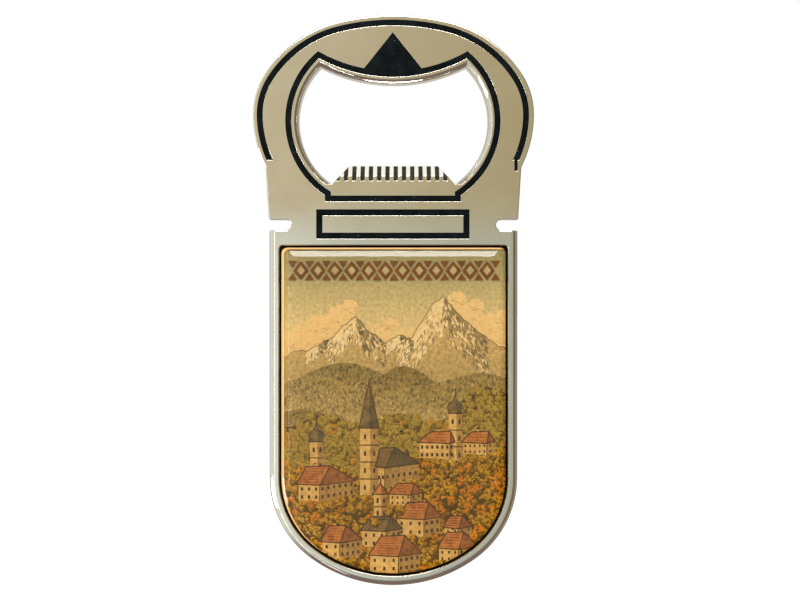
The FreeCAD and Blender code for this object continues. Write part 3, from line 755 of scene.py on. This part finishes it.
def draw_village(picture, chance):
    """A wooded slope with houses in four depths, and trees that hide their feet."""
    houses = village_inks()
    far_woods = wood_inks("far_wood", (96, 74, 18), (124, 98, 30), (160, 128, 44), (176, 118, 30))
    near_woods = wood_inks("near_wood", (86, 58, 0), (126, 88, 6), (180, 130, 18), (198, 112, 8))

    def far_edge(u):
        return 30.4 + 1.2 * math.sin(u * 0.45 + 1) + 6.0 / (1 + math.exp(-(u - 12.5) / 2.0))

    def near_edge(u):
        return 21.5 + 1.5 * math.sin(u * 0.3) + 3.0 / (1 + math.exp(-(u - 9.0) / 2.0))

    def autumn(u, v):
        return 0.08 + 0.42 * (u > 8 and v < 22) + 0.14 * (u < -4 and v < 16)

    steps = [PRINT_LEFT + step * 0.7 for step in range(61)]
    ground = [(u, far_edge(u)) for u in steps]
    picture.print_ink("ink_forest_floor", [down_to(ground, PRINT_FOOT)],
                      ink("forest_floor_ink", srgb(84, 58, 8), srgb(104, 74, 18)))
    forest(20.0, far_edge, 1.35, chance, autumn).print_all(picture, "far_wood", far_woods)
    forest(0.6, near_edge, 2.1, chance, autumn).print_all(picture, "near_wood", near_woods)

    towers, far, middle, near, front = [Village() for _ in range(5)]
    towers.tower(10.2, 22.5, 2.5, 9.2, "onion")
    towers.tower(-15.4, 17.5, 2.5, 9.0, "onion")
    towers.print_all(picture, "rear_towers", houses)
    far.house(10.4, 23.2, 5.6, 0.6, 3.2, 1.9, columns=6)
    far.house(17.2, 24.0, 4.4, 1.2, 2.4, 1.9, columns=5)
    middle.house(-13.6, 15.4, 3.9, 6.4, 3.3, 3.2, columns=3)
    middle.tower(-6.2, 16.5, 3.4, 12.5, "spire", 4)
    middle.house(-1.6, 18.0, 1.4, 6.2, 3.9, 3.4, columns=2, rows=1, slate=True, chimneys=0)
    near.house(3.2, 14.6, 3.9, 2.0, 2.3, 1.9, columns=4)
    near.tower(-3.6, 12.2, 2.4, 4.6, "tent", 2)
    near.house(5.6, 8.9, 4.9, 3.0, 3.5, 2.9, columns=3, chimneys=2)
    near.house(-1.4, 6.9, 4.4, 2.8, 3.3, 2.5, columns=3, slate=True, chimneys=2)
    near.house(12.0, 8.4, 2.6, 2.4, 2.3, 2.1, columns=2, chimneys=2)
    front.house(-9.9, 4.8, 3.2, 3.9, 3.3, 2.9, columns=2)
    front.house(0.9, 2.2, 5.2, 4.0, 3.4, 3.5, columns=3)
    front.house(12.0, 4.2, 3.6, 3.2, 2.7, 2.9, columns=3)

    def screen(name, village, places, size):
        """Print one depth of buildings, then the trees in front of them."""
        village.print_all(picture, name, houses)
        trees = Wood()
        for u, v in places:
            trees.tree(u, v, size * chance.uniform(0.8, 1.2), chance, autumn(u, v))
        trees.print_all(picture, f"{name}_trees", near_woods)

    screen("far_village", far,
           ((4.4, 22.2), (6.2, 22.0), (8.0, 22.4), (9.6, 22.0), (11.4, 22.2),
            (13.0, 23.0), (14.8, 23.4), (16.6, 23.2), (18.4, 23.8), (20.0, 24.2)), 0.85)
    screen("middle_village", middle,
           ((-18.4, 15.2), (-16.8, 14.4), (-15.0, 14.6), (-13.2, 14.2), (-11.4, 14.6),
            (-9.4, 15.4), (-7.4, 15.8), (-5.2, 16.0), (-3.2, 16.2), (-0.8, 17.4),
            (1.4, 18.0), (3.6, 18.6), (5.4, 18.8)), 0.95)
    screen("near_village", near,
           ((-5.8, 6.4), (-4.2, 5.8), (-2.4, 6.2), (-0.2, 6.2), (1.4, 7.8),
            (3.6, 8.2), (5.6, 8.0), (7.6, 8.6), (9.4, 8.2), (11.4, 7.6),
            (13.2, 7.8), (15.0, 8.8), (-0.6, 13.8), (1.2, 13.8), (-3.4, 11.6)), 1.0)
    screen("front_village", front,
           ((-13.2, 4.6), (-11.6, 4.2), (-9.4, 4.0), (-7.2, 4.2), (-5.4, 3.4),
            (5.6, 2.8), (7.4, 3.4), (9.4, 3.6), (12.2, 3.4), (14.6, 4.6)), 1.05)


def draw_frieze(picture):
    """A brown band of plain ornament across the sky: lozenges, with small triangles between them."""
    low, high = 56.3, 59.8
    middle, half = (low + high) / 2, (high - low) / 2
    left, right, count = -18.6, 18.8, 12
    pitch = (right - left) / count
    shapes, hearts = [], []
    for index in range(count):
        centre = left + pitch * (index + 0.5)

        def lozenge(share):
            return [(centre - pitch * 0.46 * share, middle), (centre, middle - half * share),
                    (centre + pitch * 0.46 * share, middle), (centre, middle + half * share)]
        shapes.append(lozenge(1.0))
        hearts.append(lozenge(0.5))
    for index in range(count + 1):
        edge = left + pitch * index
        for base, tip in ((high, middle + half * 0.28), (low, middle - half * 0.28)):
            shapes.append([(edge - pitch * 0.26, base), (edge + pitch * 0.26, base), (edge, tip)])
    picture.print_ink("ink_frieze", shapes, ink("frieze_ink", srgb(112, 62, 8), srgb(134, 78, 16)))
    picture.print_ink("ink_frieze_hearts", hearts,
                      ink("frieze_gap_ink", srgb(178, 158, 102), srgb(200, 176, 118)))


def draw_margin(picture):
    """Bare paper at the left and top, where the print lies a little off its cut, brightened by a painted
    glow.
    """
    off_u, off_v = 0.45, -0.3
    strips = []
    for before, after in zip(picture.outline, picture.outline[1:] + picture.outline[:1]):
        strips.append([before, after, (after[0] + off_u, after[1] + off_v),
                       (before[0] + off_u, before[1] + off_v)])
    # Painted light: the margin ink glows by emission.
    picture.print_ink("ink_margin", strips,
                      ink("margin_glow_ink", srgb(255, 206, 136), srgb(255, 216, 146), glow=0.45))


def draw_picture():
    picture = Picture(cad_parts["picture_print"])
    chance = random.Random(11)
    draw_sky(picture, chance)
    draw_peaks(picture, chance)
    draw_hills(picture, chance)
    draw_village(picture, chance)
    draw_frieze(picture)
    draw_margin(picture)


draw_picture()


# ---------------------------------------------------------------- stage, light and camera

def make_floor():
    """A wide pale floor just under the opener's lowest point; the room, not the floor, is mirrored."""
    half = 6.0
    level = cad_box[0].z - 0.5 * MM
    mesh = bpy.data.meshes.new("floor")
    corners = [(-half, -half, level), (half, -half, level), (half, half, level), (-half, half, level)]
    mesh.from_pydata(corners, [], [(0, 1, 2, 3)])
    floor = bpy.data.objects.new("floor", mesh)
    floor.visible_glossy = False
    bpy.context.scene.collection.objects.link(floor)
    m = Shader("pale_floor")
    m.join(m.ramp(m.noise(0.4, 2), (0.3, 0.9), (0.7, 0.94)), m.surface.inputs["Base Color"])
    m.set(Roughness=0.8, Emission_Color=(1, 1, 1, 1), Emission_Strength=0.8)
    mesh.materials.append(m.material)


class Room(NodeTree):
    """The surround: colours by direction, mixed with one another."""

    def wash(self, value, low, high, *stops):
        """Colours, or greys, along a value that runs from low to high."""
        return self.ramp(self.span(value, low, high), *stops)

    def fade(self, value, low, high):
        """A grey from 0 at low to 1 at high."""
        return self.wash(value, low, high, (0.0, 0.0), (1.0, 1.0))

    def turned(self, along, *stops):
        """Colours by the angle, in degrees, away from the direction that the opener faces."""
        return self.wash(along, -1, 1, *[((1 - math.cos(math.radians(angle))) / 2, colour)
                                         for angle, colour in stops])

    def background(self, colour, strength):
        made = self.node("Background")
        made.inputs["Strength"].default_value = strength
        self.feed(colour, made.inputs["Color"])
        return made.outputs["Background"]

    def choose(self, factor, first, second):
        made = self.node("MixShader")
        self.join(factor, made.inputs["Fac"])
        self.join(first, made.inputs[1])
        self.join(second, made.inputs[2])
        return made.outputs["Shader"]


def make_room():
    """A white surround for the camera, soft light for matt surfaces, and a warm room for the mirrors."""
    world = bpy.data.worlds.new("studio")
    bpy.context.scene.world = world
    world.use_nodes = True
    room = Room(world.node_tree)
    axes = room.node("SeparateXYZ")
    room.join(room.node("TexCoord").outputs["Generated"], axes.inputs["Vector"])
    across, along, up = axes.outputs

    # The wall that the flat front mirrors: tan above, grey-green below, and darker to the right.
    tan = room.wash(across, -0.1, 0.1, (0.0, (0.64, 0.57, 0.41)), (0.5, (0.53, 0.46, 0.30)),
                    (1.0, (0.40, 0.34, 0.19)))
    green = room.wash(across, -0.1, 0.1, (0.0, (0.9, 0.96, 0.88)), (0.2, (0.76, 0.81, 0.74)),
                      (0.36, (0.56, 0.61, 0.55)), (0.6, (0.5, 0.54, 0.47)), (1.0, (0.43, 0.46, 0.39)))
    wall = room.mix(room.fade(up, 0.030, 0.040), green, tan)

    # The four sides of the room, each by its angle away from the front.
    above = room.turned(along, (20, (0.58, 0.52, 0.38)), (35, (0.75, 0.7, 0.58)), (60, (0.9, 0.88, 0.8)),
                        (64, (0.14, 0.11, 0.08)), (82, (0.12, 0.1, 0.08)), (85, (1.05, 1.05, 1.0)),
                        (95, (1.05, 1.05, 1.0)), (98, (0.05, 0.05, 0.04)), (110, (0.04, 0.04, 0.03)),
                        (113, (1.1, 1.1, 1.06)), (126, (1.1, 1.08, 1.02)), (132, (0.34, 0.3, 0.24)),
                        (148, (0.5, 0.47, 0.4)), (180, (0.6, 0.57, 0.5)))
    below = room.turned(along, (20, (0.42, 0.46, 0.42)), (26, (0.5, 0.5, 0.46)), (36, (0.24, 0.2, 0.18)),
                        (60, (0.2, 0.15, 0.13)), (96, (0.22, 0.17, 0.14)), (122, (0.2, 0.15, 0.12)),
                        (142, (0.52, 0.49, 0.42)), (180, (0.6, 0.57, 0.5)))
    left = room.turned(along, (20, (0.62, 0.6, 0.5)), (40, (0.7, 0.7, 0.6)), (62, (0.78, 0.8, 0.76)),
                       (112, (0.78, 0.82, 0.8)), (125, (0.5, 0.47, 0.37)), (180, (0.6, 0.57, 0.5)))
    right = room.turned(along, (20, (0.40, 0.34, 0.21)), (28, (0.6, 0.58, 0.48)), (36, (0.22, 0.17, 0.12)),
                        (80, (0.14, 0.1, 0.07)), (84, (0.44, 0.4, 0.32)), (98, (0.44, 0.4, 0.32)),
                        (103, (0.18, 0.13, 0.09)), (112, (0.18, 0.13, 0.09)), (126, (0.5, 0.47, 0.4)),
                        (180, (0.6, 0.57, 0.5)))
    level = room.mix(room.fade(across, -0.15, 0.15), left, right)
    upright = room.mix(room.fade(up, -0.15, 0.15), below, above)
    up_squared = room.math("MULTIPLY", up, up)
    side_squared = room.math("MULTIPLY", across, across)
    # The small number keeps the share from dividing by zero straight ahead and straight behind.
    total = room.math("ADD", up_squared, room.math("ADD", side_squared, 1e-4))
    share = room.math("DIVIDE", up_squared, total)
    sides = room.mix(room.fade(share, 0.3, 0.7), level, upright)
    mirrored = room.mix(room.turned(along, (14, 0.0), (26, 1.0)), wall, sides)

    path = room.node("LightPath")
    lit = room.choose(path.outputs["Is Diffuse Ray"], room.background(mirrored, 1.0),
                      room.background(grey(1.0), 0.35))
    seen = room.choose(path.outputs["Is Camera Ray"], lit, room.background(grey(1.0), 1.0))
    room.join(seen, world.node_tree.nodes["World Output"].inputs["Surface"])


def make_softbox(name, azimuth, elevation, width, height, glow):
    """A soft light that faces the opener; its direction and apparent size are in degrees."""
    distance = 0.6
    turn, rise = math.radians(azimuth), math.radians(elevation)
    away = Vector((math.sin(turn) * math.cos(rise), -math.cos(turn) * math.cos(rise), math.sin(rise)))
    data = bpy.data.lights.new(name, "AREA")
    data.shape = "RECTANGLE"
    data.size = 2 * distance * math.tan(math.radians(width) / 2)
    data.size_y = 2 * distance * math.tan(math.radians(height) / 2)
    data.energy = glow * math.pi * data.size * data.size_y
    light = bpy.data.objects.new(name, data)
    light.location = away * distance
    light.rotation_euler = away.to_track_quat("Z", "Y").to_euler()
    bpy.context.scene.collection.objects.link(light)


def make_camera():
    """Square on to the front, level with the middle of the opener's length."""
    frame_width = 147.1 * MM
    distance = 380 * MM
    data = bpy.data.cameras.new("camera")
    data.sensor_width = 36.0
    data.lens = data.sensor_width * distance / frame_width
    data.clip_start = 0.01
    camera = bpy.data.objects.new("camera", data)
    camera.location = (1.2 * MM, front_y - distance, handle_tip + 52.6 * MM)
    camera.rotation_euler = (math.radians(90), 0, 0)
    bpy.context.scene.collection.objects.link(camera)
    bpy.context.scene.camera = camera


make_floor()
make_room()
make_softbox("upper_softbox", 0, 36, 24, 32, 11.0)
make_softbox("left_strip", -29, -10, 1.5, 90, 7.0)
make_softbox("side_window", -70, -14, 30, 14, 12.0)
make_camera()
bpy.context.scene.view_settings.view_transform = "Standard"
